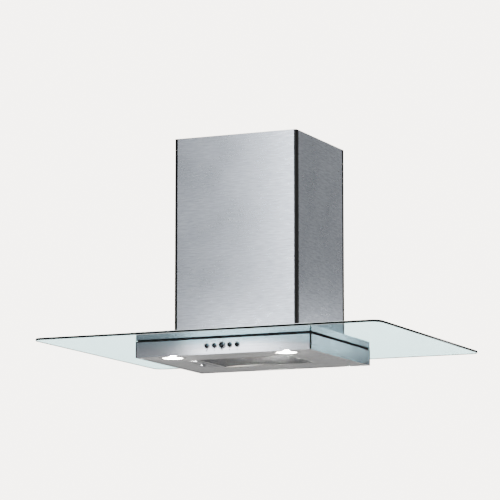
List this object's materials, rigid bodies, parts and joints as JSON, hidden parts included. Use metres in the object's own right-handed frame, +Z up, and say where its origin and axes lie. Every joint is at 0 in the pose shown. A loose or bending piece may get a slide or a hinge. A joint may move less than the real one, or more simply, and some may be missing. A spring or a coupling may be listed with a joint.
{
  "type": "island range hood",
  "caption": "Ceiling-hung island range hood: rectangular telescopic chimney, flat glass canopy, slim steel body with push buttons, lamps and a hinged grease filter.",
  "frame": {"origin": "centre of the ceiling plate's bolt pattern, on the face that meets the ceiling", "axes": "+Z up to the ceiling, front with the buttons towards -Y, +X to the right seen from the front"},
  "size_m": [0.9, 0.7, 0.555],
  "materials": {
    "brushed_stainless": "brushed stainless sheet, grain along the panel",
    "underside_steel": "satin stainless pan",
    "black_profile": "black anodised corner profile",
    "canopy_glass": "clear float glass with polished edges",
    "gasket_rubber": "black EPDM strip",
    "galvanised_steel": "zinc coated sheet",
    "zinc_fasteners": "zinc plated",
    "spring_steel": "spring steel",
    "nylon": "natural nylon",
    "filter_aluminium": "anodised frame",
    "filter_mesh": "expanded mesh pack",
    "latch_chrome": "plated latch",
    "lamp_chrome": "plated lamp trim",
    "lamp_lens": "frosted lens",
    "lamp_housing": "cast cooler",
    "black_plastic": "moulded black plastic",
    "grey_plastic": "moulded grey plastic",
    "circuit_board": "green solder mask",
    "button_chrome": "polished button",
    "bezel_chrome": "polished bezel",
    "indicator": "clear light pipe",
    "motor_paint": "black lacquered motor shell",
    "impeller_plastic": "glass filled nylon",
    "capacitor_can": "white can"
  },
  "bodies": {
    "ceiling_frame": {"ceiling_plate": "galvanised_steel", "upper_legs": "galvanised_steel", "upper_sleeve_front": "brushed_stainless", "upper_sleeve_rear": "brushed_stainless"},
    "hood": {"body_corners": "black_profile", "body_left_panel": "brushed_stainless", "body_rear_panel": "brushed_stainless", "body_right_panel": "brushed_stainless", "button_bezels": "bezel_chrome", "button_carrier": "black_plastic", "cable_gland": "black_plastic", "capacitor": "capacitor_can", "chimney_corners": "black_profile", "chimney_front_panel": "brushed_stainless", "chimney_left_panel": "brushed_stainless", "chimney_rear_panel": "brushed_stainless", "chimney_right_panel": "brushed_stainless", "clamp_bolts": "zinc_fasteners", "control_board": "circuit_board", "fascia": "brushed_stainless", "filter_catch": "spring_steel", "flap_pin": "zinc_fasteners", "frame_screws": "zinc_fasteners", "glass_canopy": "canopy_glass", "glass_sleeves": "nylon", "indicator_lenses": "indicator", "lamp_driver": "grey_plastic", "lamp_housings": "lamp_housing", "lamp_lenses": "lamp_lens", "lamp_rings": "lamp_chrome", "lower_gasket": "gasket_rubber", "lower_legs": "galvanised_steel", "motor": "motor_paint", "motor_bracket": "galvanised_steel", "motor_bushes": "gasket_rubber", "outlet_collar": "black_plastic", "plenum_end_plates": "galvanised_steel", "plenum_wrapper": "galvanised_steel", "power_box": "black_plastic", "power_box_lid": "grey_plastic", "scroll_left_side": "galvanised_steel", "scroll_right_side": "galvanised_steel", "scroll_wrap": "galvanised_steel", "terminal_box": "black_plastic", "underside_pan": "underside_steel", "upper_gasket": "gasket_rubber", "upper_tray": "brushed_stainless"},
    "filter": {"filter_frame": "filter_aluminium", "filter_mesh": "filter_mesh", "latch_plate": "filter_aluminium"},
    "latch": {"filter_latch": "latch_chrome"},
    "rotor": {"impeller": "impeller_plastic", "motor_shaft": "zinc_fasteners"},
    "flap_front": {"flap_front": "black_plastic"},
    "flap_rear": {"flap_rear": "black_plastic"},
    "button_1": {"button_1": "button_chrome"},
    "button_2": {"button_2": "button_chrome"},
    "button_3": {"button_3": "button_chrome"},
    "button_4": {"button_4": "button_chrome"},
    "button_5": {"button_5": "button_chrome"}
  },
  "joints": [
    {"name": "height_slide", "type": "slide", "parent": "ceiling_frame", "child": "hood", "axis": [0, 0, -1], "range_m": [0, 0.35]},
    {"name": "filter_hinge", "type": "hinge", "parent": "hood", "child": "filter", "pos_m": [0.1435, -0.0385, -0.5425], "axis": [0, -1, 0], "range_deg": [0, 85], "deforming": ["filter_catch"]},
    {"name": "latch_slide", "type": "slide", "parent": "filter", "child": "latch", "axis": [1, 0, 0], "range_m": [0, 0.004], "stiffness_N_per_m": 500, "springref_m": -0.006},
    {"name": "impeller_spin", "type": "hinge", "parent": "hood", "child": "rotor", "pos_m": [0, -0.03, -0.355], "axis": [1, 0, 0], "continuous": true},
    {"name": "flap_front_swing", "type": "hinge", "parent": "hood", "child": "flap_front", "pos_m": [0, 0.026, -0.1968], "axis": [-1, 0, 0], "range_deg": [0, 75]},
    {"name": "flap_rear_swing", "type": "hinge", "parent": "hood", "child": "flap_rear", "pos_m": [0, 0.026, -0.1968], "axis": [1, 0, 0], "range_deg": [0, 75]},
    {"name": "button_1_press", "type": "slide", "parent": "hood", "child": "button_1", "axis": [0, 1, 0], "range_m": [0, 0.0015], "stiffness_N_per_m": 1200, "springref_m": -0.001},
    {"name": "button_2_press", "type": "slide", "parent": "hood", "child": "button_2", "axis": [0, 1, 0], "range_m": [0, 0.0015], "stiffness_N_per_m": 1200, "springref_m": -0.001},
    {"name": "button_3_press", "type": "slide", "parent": "hood", "child": "button_3", "axis": [0, 1, 0], "range_m": [0, 0.0015], "stiffness_N_per_m": 1200, "springref_m": -0.001},
    {"name": "button_4_press", "type": "slide", "parent": "hood", "child": "button_4", "axis": [0, 1, 0], "range_m": [0, 0.0015], "stiffness_N_per_m": 1200, "springref_m": -0.001},
    {"name": "button_5_press", "type": "slide", "parent": "hood", "child": "button_5", "axis": [0, 1, 0], "range_m": [0, 0.0015], "stiffness_N_per_m": 1200, "springref_m": -0.001}
  ]
}
